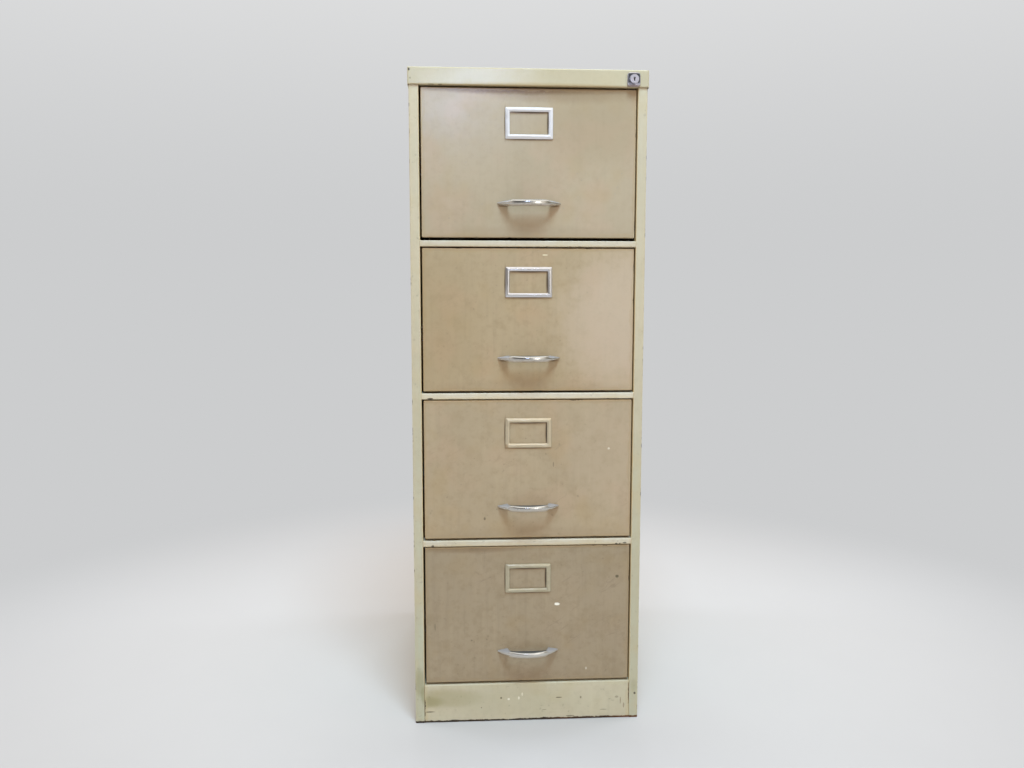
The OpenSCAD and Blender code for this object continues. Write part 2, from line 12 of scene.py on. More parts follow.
import bmesh
import bpy
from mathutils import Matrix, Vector


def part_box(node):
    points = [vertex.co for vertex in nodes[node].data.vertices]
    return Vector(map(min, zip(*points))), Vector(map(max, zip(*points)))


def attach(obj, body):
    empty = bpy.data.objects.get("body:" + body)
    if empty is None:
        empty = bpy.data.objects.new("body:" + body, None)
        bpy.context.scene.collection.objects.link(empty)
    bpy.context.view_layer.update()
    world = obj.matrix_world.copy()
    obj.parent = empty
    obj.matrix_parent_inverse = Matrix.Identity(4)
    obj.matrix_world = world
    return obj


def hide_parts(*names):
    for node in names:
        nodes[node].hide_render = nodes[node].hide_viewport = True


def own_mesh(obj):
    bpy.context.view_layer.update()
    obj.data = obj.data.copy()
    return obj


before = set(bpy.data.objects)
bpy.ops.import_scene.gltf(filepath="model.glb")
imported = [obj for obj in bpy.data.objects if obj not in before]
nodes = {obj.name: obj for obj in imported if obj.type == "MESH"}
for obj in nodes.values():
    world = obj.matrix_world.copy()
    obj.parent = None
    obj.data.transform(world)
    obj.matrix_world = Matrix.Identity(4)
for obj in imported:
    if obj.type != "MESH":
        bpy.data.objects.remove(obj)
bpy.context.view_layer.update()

DRAWERS = (1, 2, 3, 4)
MM = 0.001
scene = bpy.context.scene
scene.view_settings.view_transform = "Standard"

# %% [markdown]
# ## The camera
# The photographer stood a little left of the middle, at about waist height, and held a wide lens slightly
# down. A camera could be aimed at the object with a constraint, but a fixed place and tilt are easier to
# compare with a photograph, because nothing moves when the object changes.

# %% Place the camera
CAMERA_PLACE = (-0.1262, -1.9294, 0.8760)
CAMERA_TILT = (84.141, -0.038, -3.271)
LENS_MM = 28.83
camera = bpy.data.objects.new("camera", bpy.data.cameras.new("camera"))
camera.location = CAMERA_PLACE
camera.rotation_euler = [math.radians(angle) for angle in CAMERA_TILT]
camera.data.sensor_width = 36
camera.data.lens = LENS_MM
scene.collection.objects.link(camera)
scene.camera = camera
from_axis = (camera.location - Vector((0, 0, camera.location.z))).length
print("camera", round(from_axis, 2), "m from the cabinet's axis")

# %% [markdown]
# ## Writing shaders as sums
# A finish here is a sum of many small effects, and a node graph for it is long. Building it by hand in the
# node editor works, but it can't be read later. So one small class wraps a node's output: adding,
# multiplying or subtracting two wires adds the Math node for it, and one method makes every other kind of
# node.

# %% A wire that does arithmetic
class Wire:
    """A node's output, which can be added to, multiplied and so on. Each step adds its Math node."""

    def __init__(self, tree, socket=None):
        self.tree = tree
        self.socket = socket

    def node(self, kind, inputs=(), out=0, stops=(), **settings):
        """Adds a node: its settings and ramp stops first, then the values or links of its sockets."""
        made = self.tree.nodes.new("ShaderNode" + kind)
        for name, value in settings.items():
            setattr(made, name, value)
        for place, (position, colour) in enumerate(stops):
            stop = made.color_ramp.elements[place] if place < 2 else made.color_ramp.elements.new(position)
            stop.position = position
            stop.color = colour
        for name, value in dict(inputs).items():
            if isinstance(value, Wire):
                self.tree.links.new(value.socket, made.inputs[name])
            else:
                made.inputs[name].default_value = value
        return Wire(self.tree, made.outputs[out] if made.outputs else None)

    def math(self, operation, *values):
        return self.node("Math", enumerate(values), operation=operation)

    def __add__(self, other):
        return self.math("ADD", self, other)

    def __radd__(self, other):
        return self.math("ADD", other, self)

    def __sub__(self, other):
        return self.math("SUBTRACT", self, other)

    def __rsub__(self, other):
        return self.math("SUBTRACT", other, self)

    def __mul__(self, other):
        return self.math("MULTIPLY", self, other)

    def __abs__(self):
        return self.math("ABSOLUTE", self)


print("operators ready:", [name for name in vars(Wire) if name.startswith("__r") and name != "__repr__"])

# %% Small helpers for colour and texture
def rgb(red, green, blue):
    """A colour given as 0 to 255 on a screen, as the linear light that shaders use."""
    def linear(value):
        value = value / 255
        return value / 12.92 if value <= 0.04045 else ((value + 0.055) / 1.055) ** 2.4
    return (linear(red), linear(green), linear(blue), 1)


def tint(colour, amount):
    """The same linear colour, lighter or darker."""
    return tuple(channel * amount for channel in colour[:3]) + (1,)


def blend(below, above, factor):
    """One colour laid over another by a factor from 0 to 1."""
    return factor.node("Mix", {0: factor, 6: below, 7: above}, out=2, data_type="RGBA")


def rise(value, low, high):
    """0 below low and 1 above high, with a smooth step between them."""
    return value.node("MapRange", {"Value": value, "From Min": low, "From Max": high},
                      interpolation_type="SMOOTHSTEP")


def noise(place, scale, detail=2.0, rough=0.5):
    """Soft random blotches, so many to the metre."""
    return place.node("TexNoise", {"Vector": place, "Scale": scale, "Detail": detail, "Roughness": rough})


def stretched(place, across, deep, up):
    """The place with each axis scaled, so that what is drawn there is drawn out."""
    return place.node("VectorMath", {0: place, 1: (across, deep, up)}, operation="MULTIPLY")


def shifted(place, seed):
    """The place moved far away, so that two pieces with one finish don't share their blotches."""
    return place.node("VectorMath", {0: place, 1: (7.3 * seed, 3.1 * seed, 5.7 * seed)}, operation="ADD")


def new_finish(name):
    """A material with an empty node tree, and the wire of each point's place in the cabinet's own frame."""
    material = bpy.data.materials.new(name)
    material.use_nodes = True
    material.node_tree.nodes.clear()
    return material, Wire(material.node_tree).node("TexCoord", out=3)


def close_finish(surface):
    """Joins a shader to the material's output."""
    surface.node("OutputMaterial", {"Surface": surface})


def coordinates(place):
    """The x, y and z wires of a place."""
    split = place.node("SeparateXYZ", {0: place}).socket.node.outputs
    return [Wire(place.tree, socket) for socket in split]


print("cream enamel in linear light:", [round(v, 3) for v in rgb(208, 200, 175)[:3]])

# %% [markdown]
# ## Floor and light
# A studio floor is a sheet of paper that runs back until it can't be told from the wall. A modelled sweep
# would hide the cabinet from behind, so the floor here is a wide disc that fades into the same pale grey as
# the world. A cool key lamp hangs high in front, a little to the right, steep enough that the cap, the
# rails and the handles throw short shadows. The light from all round is warmer, so those shadows are brown
# and not grey, and together the two are neutral. Three lamps behind the front's plane do the same for the
# sides and the back. The lamps are left out of reflections, where small bright boxes would only burn out.
# Three panels further out do show there, and give the sheen on the enamel and the light in the chrome.

# %% The floor
PALE = rgb(198, 193, 188)
HORIZON = rgb(204, 205, 206)
FLOOR_RADIUS = 14.0
FADE_START = 0.60
FADE_END = 1.8


def make_floor():
    """The paper disc, which turns into the backdrop's own light away from the cabinet."""
    mesh = bmesh.new()
    bmesh.ops.create_circle(mesh, cap_ends=True, segments=96, radius=FLOOR_RADIUS)
    data = bpy.data.meshes.new("floor")
    mesh.to_mesh(data)
    mesh.free()
    floor = bpy.data.objects.new("floor", data)
    scene.collection.objects.link(floor)
    material, place = new_finish("floor_paper")
    distance = place.node("VectorMath", {0: place}, out=1, operation="LENGTH")
    mottle = noise(place, 6.0, 4.0)
    paper = place.node("BsdfDiffuse", {"Color": blend(tint(PALE, 0.97), PALE, mottle)})
    glow = place.node("Emission", {"Color": HORIZON})
    rays = place.node("LightPath")
    in_mirror = Wire(rays.tree, rays.socket.node.outputs["Is Glossy Ray"])
    far = rise(distance, FADE_START, FADE_END) * (rays + in_mirror)
    close_finish(place.node("MixShader", {0: far, 1: paper, 2: glow}))
    data.materials.append(material)
    return floor


print("floor disc", make_floor().dimensions.x, "m across")

# %% The world
SKY_LIGHT = 0.72
SKY_WARMTH = rgb(255, 233, 209)
ROOM_LIGHT = 1.25
# The room that metal reflects, from the far left to the far right. Each stop is a place from 0 to 1 and a
# colour.
ROOM_STOPS = (
    (0.04, rgb(150, 140, 132)),
    (0.11, rgb(198, 192, 186)),
    (0.20, rgb(98, 95, 94)),
    (0.45, rgb(80, 78, 76)),
    (0.56, rgb(148, 146, 142)),
    (0.67, rgb(238, 236, 232)),
    (0.84, rgb(222, 216, 206)),
    (0.92, rgb(118, 112, 98)),
)


def make_world():
    """Plain light for surfaces, a pale backdrop for the camera, and a room with a window in reflections."""
    world = bpy.data.worlds.new("studio")
    world.use_nodes = True
    world.node_tree.nodes.clear()
    scene.world = world
    start = Wire(world.node_tree)
    across, _, height = coordinates(start.node("TexCoord", out=0))
    overhead = rise(height, 0.05, 0.75)
    backdrop = blend(HORIZON, rgb(246, 246, 246), overhead)
    room = start.node("ValToRGB", {0: across * 0.5 + 0.5}, stops=ROOM_STOPS)
    room = blend(room, rgb(255, 254, 250), rise(height, 0.36, 0.60))
    rays = start.node("LightPath")
    in_mirror = Wire(world.node_tree, rays.socket.node.outputs["Is Glossy Ray"])
    plain = start.node("Background", {"Color": SKY_WARMTH, "Strength": SKY_LIGHT})
    mirrored = start.node("Background", {"Color": room, "Strength": ROOM_LIGHT})
    shown = start.node("Background", {"Color": backdrop, "Strength": 1.0})
    mixed = start.node("MixShader", {0: in_mirror, 1: plain, 2: mirrored})
    mixed = start.node("MixShader", {0: rays, 1: mixed, 2: shown})
    mixed.node("OutputWorld", {"Surface": mixed})


make_world()
print("world light", SKY_LIGHT)

# %% The lamps
def soft_box(name, place, aim, size, power, colour, mirrored=False):
    """A rectangular lamp that is aimed at a point, and shows in reflections only where that is asked for."""
    lamp = bpy.data.lights.new(name, "AREA")
    lamp.shape = "RECTANGLE"
    lamp.size, lamp.size_y = size
    lamp.energy = power
    lamp.color = colour
    box = bpy.data.objects.new(name, lamp)
    box.location = place
    box.rotation_euler = (Vector(aim) - Vector(place)).to_track_quat("-Z", "Y").to_euler()
    box.visible_glossy = mirrored
    scene.collection.objects.link(box)
    return box


COOL = (0.52, 0.76, 1.0)
SHEEN = (0.50, 0.62, 1.0)
WINDOW = (1.0, 0.98, 0.95)
SIDE_COOL = (0.70, 0.84, 1.0)
soft_box("key_lamp", (0.12, -1.45, 3.30), (0.0, -0.30, 0.80), (0.80, 0.90), 97, COOL)
soft_box("front_sheen", (-0.23, -3.60, 2.02), (-0.14, -0.30, 1.25), (0.36, 0.24), 3.8, SHEEN, True)
soft_box("cap_sheen", (0.03, -3.60, 2.21), (-0.10, -0.30, 1.30), (0.34, 0.14), 2.3, SHEEN, True)
soft_box("window_panel", (1.45, -3.20, 1.15), (0.20, -0.30, 0.85), (0.7, 1.3), 7, WINDOW, True)
soft_box("left_lamp", (-2.40, 0.60, 1.00), (-0.23, 0.10, 0.70), (0.9, 1.5), 30, SIDE_COOL)
soft_box("right_lamp", (2.40, 0.60, 1.00), (0.23, 0.10, 0.70), (0.9, 1.5), 30, SIDE_COOL)
soft_box("back_lamp", (0.0, 2.60, 1.60), (0.0, 0.30, 0.70), (1.5, 1.0), 34, SIDE_COOL)

# %% [markdown]
# ## Old enamel
# The paint is baked enamel on steel. Seen close it isn't one colour: it is mottled, has faint streaks where
# it was wiped down for years, carries dark specks and hair scratches, is chipped to dark metal along folded
# edges, and has dull and bright areas. A photograph of old paint could be projected, but it would fit only
# one view. Noise in the cabinet's own frame fits every side, and the edges come from the boxes of the
# solids, so wear sits on real edges.

# %% One enamel for every painted sheet
BARE_STEEL = rgb(52, 40, 28)
RUST = rgb(104, 62, 26)
# Marks that are listed one by one lie on the front, and end between these two depths.
MARKS_FADE = -0.270
MARKS_END = -0.258
# Heights of the waves in the sheet and of the paint's orange peel, and the depth of a chip.
SHEET_WAVE = 0.5 * MM
ORANGE_PEEL = 0.012 * MM
CHIP_DEPTH = 0.08 * MM
# How far from an edge hands leave grime.
GRIME_REACH = 8 * MM


def worn_distance(axes, axis, position, other_axis, other_position):
    """How far a point lies from the line where two faces meet."""
    first = abs(axes[axis] - position)
    return first.math("MAXIMUM", first, abs(axes[other_axis] - other_position))


def edge_wear(axes, edges, ragged):
    """Chips along folded edges. Each edge is where two faces meet: an axis number and a place on it for
    either face, and then how far chips reach."""
    worn = None
    for (axis, position), (other_axis, other_position), reach in edges:
        apart = worn_distance(axes, axis, position, other_axis, other_position)
        apart = apart + (ragged - 0.5) * (reach * 2.4)
        near = rise(apart, reach * 0.9, reach * 0.5)
        worn = near if worn is None else worn.math("MAXIMUM", worn, near)
    return worn


def apart_from(axes, centre, size):
    """Squared distance from the middle of an ellipse in x and z, which is 1 on its outline."""
    across = (axes[0] - centre[0] * MM) * (1 / (size[0] * MM))
    up = (axes[2] - centre[1] * MM) * (1 / (size[1] * MM))
    return across * across + up * up


def enamel(name, colour, seed, edges=(), chips=(), stains_and_shading=(), chipped=0.57, dirt=0.35, specks=0.40,
           gloss=0.34, grain=0.30, blushed=0.2, scratched=0.0, handled=1.0, low_colour=None, rusted=0):
    """Old enamel. On the front, chips have crisp outlines and soft marks fade out: stains, and also painted
    shade, shadows, highlights and sheen. Each is a place and half size in x and z in millimetres, a colour
    and a strength. Handled is how much grime hands have left along the edges. A low colour is the colour it
    blends to towards the floor, and rusted is how many millimetres of it at the floor have rusted away."""
    material, place = new_finish(name)
    axes = coordinates(place)
    on_front = rise(axes[1], MARKS_END, MARKS_FADE)
    own = shifted(place, seed)
    cloud = noise(own, 7.0, 3.0, 0.55)
    mottle = noise(own, 34.0, 4.0, 0.6)
    fine = noise(own, 170.0, 3.0, 0.6)
    streak = noise(stretched(own, 110.0, 110.0, 6.0), 1.0, 3.0, 0.6)
    base = blend(low_colour, colour, rise(axes[2], 0.05, 1.0)) if low_colour else colour
    tone = blend(base, tint(colour, 0.5), rise(cloud, 0.66, 0.34) * 0.10)
    blush = (colour[0] * 1.06, colour[1] * 0.97, colour[2] * 0.98, 1)
    tone = blend(tone, blush, rise(noise(own, 13.0, 2.0, 0.5), 0.46, 0.68) * blushed)
    shade = (colour[0] * 0.80, colour[1] * 0.77, colour[2] * 0.70, 1)
    tone = blend(tone, shade, rise(mottle, 0.46, 0.76) * grain)
    tone = blend(tone, tint(colour, 1.16), rise(streak, 0.52, 0.80) * (grain * 0.6))
    tone = blend(tone, tint(colour, 0.74), rise(streak, 0.48, 0.22) * (grain * 0.6))
    tone = blend(tone, tint(shade, 0.92), rise(noise(own, 90.0, 3.0, 0.6), 0.46, 0.74) * (grain * 0.7))
    warm = (colour[0] * 0.94, colour[1] * 0.85, colour[2] * 0.66, 1)
    tone = blend(tone, warm, rise(noise(shifted(own, 1), 15.0, 2.0, 0.5), 0.50, 0.76) * dirt)
    dots = rise(noise(own, 150.0, 1.0, 0.4), 0.66, 0.76) * rise(mottle, 0.46, 0.62)
    tone = blend(tone, tint(colour, 0.46), dots * specks)
    if scratched:
        lean = place.node("VectorRotate", {"Vector": own, "Angle": 0.5}, rotation_type="Y_AXIS")
        hair = abs(noise(stretched(lean, 9.0, 60.0, 52.0), 1.0, 2.0, 0.5) - 0.5)
        hair = rise(hair, 0.010, 0.002) * rise(noise(own, 13.0, 1.0), 0.54, 0.66)
        tone = blend(tone, tint(colour, 0.55), hair * scratched)
    height = noise(own, 5.0, 1.0) * SHEET_WAVE + noise(own, 620.0, 1.0) * ORANGE_PEEL
    rough = rise(mottle, 0.35, 0.8) * (gloss * 0.25) + rise(cloud, 0.35, 0.7) * (gloss * 0.15)
    rough = rough + dots * 0.2 + gloss
    # Soft marks: stains, and painted shade, shadows, highlights and sheen.
    for centre, size, stain, strength in stains_and_shading:
        apart = apart_from(axes, centre, size) + (mottle - 0.5) * 0.4 + (fine - 0.5) * 0.2
        tone = blend(tone, stain, rise(apart, 1.0, 0.05) * on_front * strength)
    if edges:
        grubby = edge_wear(axes, [(face, other, GRIME_REACH) for face, other, reach in edges], mottle)
        tone = blend(tone, warm, grubby * (dirt * handled))
        worn = edge_wear(axes, edges, fine) * rise(noise(own, 30.0, 2.0, 0.5), chipped, chipped + 0.06)
        tone = blend(tone, blend(BARE_STEEL, RUST, rise(fine, 0.40, 0.62)), worn)
        height = height - worn * CHIP_DEPTH
        rough = rough + worn * 0.3
    if rusted:
        ragged = (fine - 0.5) * 0.9 + (noise(own, 24.0, 2.0) - 0.5) * 0.9
        eaten = rise(axes[2] + ragged * (rusted * MM), rusted * MM, rusted * 0.7 * MM)
        tone = blend(tone, blend(BARE_STEEL, RUST, rise(noise(own, 9.0, 2.0), 0.42, 0.60)), eaten)
        rough = rough + eaten * 0.3
    for centre, size, chip, strength in chips:
        apart = apart_from(axes, centre, size) + (fine - 0.5) * 1.6
        tone = blend(tone, chip, rise(apart, 1.25, 0.65) * on_front * strength)
    bump = place.node("Bump", {"Strength": 1.0, "Distance": 1.0, "Height": height})
    close_finish(place.node("BsdfPrincipled", {"Base Color": tone, "Roughness": rough, "Normal": bump}))
    return material


print("chips show dark steel:", [round(v, 3) for v in BARE_STEEL[:3]])

# %% [markdown]
# ## The cream case
# Sides, cap, rails and plinth share one cream enamel, greyer and greener towards the floor. Each sheet
# wears in its own place: the cap along its lower fold, the rails at the ends where the drawers' corners hit
# them, and the plinth and sides along the floor, where mops left them wet. So each sheet gets its own mix
# with its own few marks.

# %% Paint the case
CREAM = rgb(203, 192, 163)
CAP_CREAM = rgb(194, 183, 152)
# Each rail has its own cream, lighter or darker for how the light falls on it: painted light and shade.
RAIL_LIT_TONES = {1: rgb(206, 197, 175), 2: rgb(215, 207, 186), 3: rgb(210, 202, 180)}
LOW_CREAM = rgb(190, 191, 166)
PLINTH_CREAM = rgb(201, 194, 167)
GREEN_GRIME = rgb(138, 132, 86)
CHALK = rgb(236, 232, 214)
SMUDGE = rgb(96, 86, 62)


def dress(name, material):
    """Gives a solid its finish in place of the plain one that it came with."""
    data = nodes[name].data
    data.materials.clear()
    data.materials.append(material)


FRONT = (1, 0)
BACK = (1, 1)
LEFT = (0, 0)
RIGHT = (0, 1)
BOTTOM = (2, 0)
TOP = (2, 1)


def box_edges(name, pairs, reach):
    """Edges of a sheet's box, where two of its faces meet. A face is an axis number and 0 for its low side
    or 1 for its high side."""
    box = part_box(name)
    return [tuple((axis, box[side][axis]) for axis, side in pair) + (reach * MM,) for pair in pairs]


cap_chips = [
    ((-231, 1315), (1.8, 2.6), BARE_STEEL, 0.9),
    ((-229, 1299), (1.5, 2.0), SMUDGE, 0.5),
    ((-190, 1288), (7, 0.8), SMUDGE, 0.6),
    ((-172, 1288), (4, 0.9), SMUDGE, 0.6),
]
# A warm brown band along the cap's lower fold, which faces down: painted shade.
cap_fold_shade = [((0, 1287), (260, 8), rgb(180, 156, 108), 0.55)]
dress("top_cap", enamel("case_paint_cap", CAP_CREAM, 1, (), cap_chips, cap_fold_shade, dirt=0.15, specks=0.15,
                        gloss=0.13, grain=0.16))
# On the right stile, the two long pale-brown patches darken its top and its lower part: painted shade. The
# green patches are grime.
side_marks_and_shade = {
    "left_side": [((-224, 88), (13, 40), GREEN_GRIME, 0.45), ((-216, 60), (7, 26), GREEN_GRIME, 0.5)],
    "right_side": [((224, 70), (9, 18), GREEN_GRIME, 0.30),
                   ((223, 1150), (20, 180), rgb(186, 178, 154), 0.40),
                   ((224, 250), (22, 300), rgb(184, 174, 144), 0.30)],
}
side_chips = {"left_side": [], "right_side": [((226, 53), (2.2, 2.6), BARE_STEEL, 0.8)]}
# The inner folds of the stiles carry a painted highlight: a lighter line where the rounded fold catches the
# light.
STILE_HIGHLIGHT_CREAM = rgb(232, 206, 152)
bay = [corner.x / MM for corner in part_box("divider_rail_1")]
for side, outer, fold, seed in (("left_side", LEFT, bay[0], 2), ("right_side", RIGHT, bay[1], 3)):
    corners = box_edges(side, [(outer, FRONT), (outer, BACK)], 1.3)
    marks = side_marks_and_shade[side] + [((fold, 660), (1.0, 2000), STILE_HIGHLIGHT_CREAM, 0.8)]
    dress(side, enamel("case_paint_" + side, CREAM, seed, corners, side_chips[side], marks, dirt=0.40,
                       handled=0.3, low_colour=LOW_CREAM, rusted=5.5))
rail_chips = {
    1: [],
    2: [((-196, 679), (6, 1.6), BARE_STEEL, 0.9)],
    3: [((183, 376.5), (2.4, 1.5), BARE_STEEL, 1.0), ((190, 376.5), (1.8, 1.4), BARE_STEEL, 0.9),
        ((200, 378), (4.0, 1.6), BARE_STEEL, 0.8), ((-194, 377), (3, 2.4), BARE_STEEL, 0.9)],
}
for number in (1, 2, 3):
    rail = f"divider_rail_{number}"
    folds = box_edges(rail, [(BOTTOM, FRONT), (LEFT, FRONT), (RIGHT, FRONT)], 1.2)
    dress(rail, enamel("case_paint_" + rail, RAIL_LIT_TONES[number], 3 + number, folds, rail_chips[number],
                       chipped=0.63, dirt=0.40))
plinth_chips = [
    ((-203, 23.5), (10, 1.2), SMUDGE, 0.9),
    ((-55, 50), (2.0, 2.2), SMUDGE, 0.8),
    ((-39, 47), (2.6, 2.2), CHALK, 0.9),
    ((-18, 49), (2.0, 3.4), CHALK, 0.8),
    ((-11, 57), (1.4, 4.0), CHALK, 0.7),
    ((66, 48), (7.0, 1.1), SMUDGE, 0.9),
    ((112, 47), (2.0, 3.0), SMUDGE, 0.5),
    ((90, 7), (9, 1.3), SMUDGE, 0.7),
    ((188, 46), (4, 2.4), SMUDGE, 0.4),
    ((196, 38), (1.2, 8), RUST, 0.45),
    ((203, 27), (1.5, 6), RUST, 0.45),
    ((160, 19), (8, 1.2), SMUDGE, 0.4),
    ((-96, 30), (1.4, 1.6), SMUDGE, 0.6),
    ((35, 22), (5, 1.0), SMUDGE, 0.4),
]
plinth_stains = [
    ((-212, 45), (46, 15), GREEN_GRIME, 0.55),
    ((-170, 52), (100, 26), rgb(160, 152, 112), 0.55),
    ((-30, 44), (170, 40), rgb(186, 180, 150), 0.35),
]
plinth_ends = box_edges("plinth", [(LEFT, FRONT), (RIGHT, FRONT)], 1.6)
dress("plinth", enamel("case_paint_plinth", PLINTH_CREAM, 8, plinth_ends, plinth_chips, plinth_stains,
                       chipped=0.46, dirt=0.40, specks=0.50, rusted=5.5))
dress("back_panel", enamel("case_paint_back", CREAM, 9, dirt=0.40, low_colour=LOW_CREAM))
dress("base_pan", enamel("case_paint_inner", tint(CREAM, 0.80), 10, dirt=0.50, gloss=0.45))
print("case sheets painted:", sum(1 for m in bpy.data.materials if m.name.startswith("case_paint")))

# %% [markdown]
# ## The coffee-coloured fronts
# The four fronts' tones differ, the lowest the darkest, so the tone is given drawer by drawer. Their folded
# edges are rubbed, and a few chips are big enough to be listed one by one.

# %% Paint the drawer fronts
FRONT_TONES = {
    1: rgb(181, 165, 138),
    2: rgb(179, 159, 126),
    3: rgb(179, 161, 131),
    4: rgb(165, 149, 122),
}
FRONT_GRAIN = {1: 0.22, 2: 0.44, 3: 0.42, 4: 0.58}
FRONT_SCRATCHES = {1: 0.0, 2: 0.15, 3: 0.25, 4: 0.35}
FRONT_GLOSS = {1: 0.17, 2: 0.28, 3: 0.32, 4: 0.36}
FRONT_BLUSH = {1: 0.55, 2: 0.55, 3: 0.45, 4: 0.15}
# How strong the painted shadows round each label frame are.
LABEL_SHADOW = {1: 0.35, 2: 0.40, 3: 0.50, 4: 0.50}
# How much lighter the painted highlight on the fold along the top of a front is.
TOP_FOLD_HIGHLIGHT = {1: 0.0, 2: 0.5, 3: 0.9, 4: 0.6}
FOLD_HIGHLIGHT = rgb(240, 226, 192)
# Brown for painted shadows and shade on the fronts, and for the dirt under the handle's pads.
SHADE_AND_DUST_BROWN = rgb(112, 84, 52)
# Near black for the painted shadows at the edges of the label frames.
BLACK_SHADOW = rgb(58, 46, 30)
# A pale colour for a painted sheen.
SHEEN_PALE = rgb(200, 182, 160)
# How far in from a handle's end the middle of its pad lies, and how far below that the pad's lower edge lies,
# in millimetres.
PAD_REACH = 12
PAD_DROP = 4.5
front_chips = {
    1: [],
    2: [((33, 964.5), (5.5, 1.3), rgb(236, 226, 190), 0.85)],
    3: [((-88, 432), (2.2, 3.2), SMUDGE, 0.7), ((165, 575), (2.2, 2.2), CHALK, 0.6),
        ((52, 543), (1.4, 5), SMUDGE, 0.5)],
    4: [((61, 249), (5.6, 3.2), rgb(250, 246, 232), 1.0), ((123, 109), (1.7, 3.0), CHALK, 0.4),
        ((186, 306), (3.4, 3.0), SMUDGE, 0.9), ((-191, 205), (1.4, 7), SMUDGE, 0.5),
        ((-116, 174.5), (2, 2), SMUDGE, 0.5)],
}
# On the first front, the two brown bands under the cap and the patch at the upper right are painted shadow
# and shade. On the fourth, the band under the lowest rail is a painted shadow. The pale patches on the right
# of the second and third fronts are a painted sheen. The brown patch on the left of the second front darkens
# it.
front_stains_and_light = {
    1: [((0, 1285), (250, 16), SHADE_AND_DUST_BROWN, 0.85), ((70, 1287), (210, 36), SHADE_AND_DUST_BROWN, 0.45),
        ((150, 1225), (170, 110), rgb(160, 140, 108), 0.40)],
    2: [((215, 830), (190, 190), SHEEN_PALE, 0.60), ((-215, 830), (150, 190), rgb(166, 144, 106), 0.30)],
    3: [((190, 560), (150, 150), SHEEN_PALE, 0.18)],
    4: [((-110, 372), (140, 14), SHADE_AND_DUST_BROWN, 0.45)],
}


def front_light_and_dirt(number):
    """A painted highlight on the fold along the top of a front, painted shade along its bottom, painted
    shadows round the label frame, and dirt with painted shadow under the handle's pads."""
    bottom, top = [corner.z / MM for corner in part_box(f"drawer_front_{number}")]
    low, high = [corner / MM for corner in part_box(f"label_frame_{number}")]
    middle = (low + high) / 2
    strength = LABEL_SHADOW[number]
    pads_low, pads_high = [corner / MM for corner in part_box(f"handle_{number}")]
    under_pads = (pads_low.z + pads_high.z) / 2 - PAD_DROP
    return [
        ((pads_low.x + PAD_REACH, under_pads), (13, 2.6), SHADE_AND_DUST_BROWN, 0.7),
        ((pads_high.x - PAD_REACH, under_pads), (13, 2.6), SHADE_AND_DUST_BROWN, 0.7),
        ((0, top), (900, 2.4), FOLD_HIGHLIGHT, TOP_FOLD_HIGHLIGHT[number]),
        ((0, bottom + 2), (250, 26), SHADE_AND_DUST_BROWN, 0.12),
        ((high.x - 10, middle.z), (4.0, 30), SHADE_AND_DUST_BROWN, strength),
        ((middle.x, high.z - 9.5), (48, 5.0), SHADE_AND_DUST_BROWN, strength * 0.8),
        ((low.x - 0.2, middle.z), (3.2, 42), SHADE_AND_DUST_BROWN, strength),
        ((middle.x, low.z - 0.5), (60, 3.6), SHADE_AND_DUST_BROWN, strength * 0.8),
        ((high.x - 9.6, middle.z), (2.2, 30), BLACK_SHADOW, 0.85),
        ((middle.x, high.z - 9.4), (48, 2.2), BLACK_SHADOW, 0.65),
        ((low.x - 0.6, middle.z), (1.8, 38), BLACK_SHADOW, 0.60),
        ((middle.x, low.z - 0.6), (52, 1.8), BLACK_SHADOW, 0.50),
    ]


for number in DRAWERS:
    front = f"drawer_front_{number}"
    rims = box_edges(front, [(side, FRONT) for side in (LEFT, RIGHT, BOTTOM, TOP)], 1.4)
    dress(front, enamel(f"front_paint_{number}", FRONT_TONES[number], 20 + number, rims, front_chips[number],
                        front_stains_and_light[number] + front_light_and_dirt(number), chipped=0.60, dirt=0.30, specks=0.40,
                        gloss=FRONT_GLOSS[number], grain=FRONT_GRAIN[number], blushed=FRONT_BLUSH[number],
                        scratched=FRONT_SCRATCHES[number]))
print("fronts painted:", len(FRONT_TONES))

# %% [markdown]
# ## Inside the drawers
# The drawer boxes were dipped in a plain grey-beige primer coat, duller than the fronts, and are chipped
# along their rims. It is the same enamel with more dirt and less gloss.

# %% Paint the drawer boxes
DRAWER_GREY = rgb(168, 163, 148)
for number in DRAWERS:
    body = f"drawer_body_{number}"
    rims = box_edges(body, [(LEFT, TOP), (RIGHT, TOP), (LEFT, BOTTOM), (RIGHT, BOTTOM), (BACK, TOP)], 1.6)
    dress(body, enamel(f"drawer_paint_{number}", DRAWER_GREY, 30 + number, rims, dirt=0.5, specks=0.4,
                       gloss=0.44))
print("drawer boxes painted:", len(DRAWERS))

# %% [markdown]
# ## Plated and bare metal
# The handles, label frames and lock are plated, and the runners are zinc. A metal has almost no colour of
# its own: what it shows is the room. So the finish lies in its roughness: fine pitting, wiped smears and
# dull tarnish.

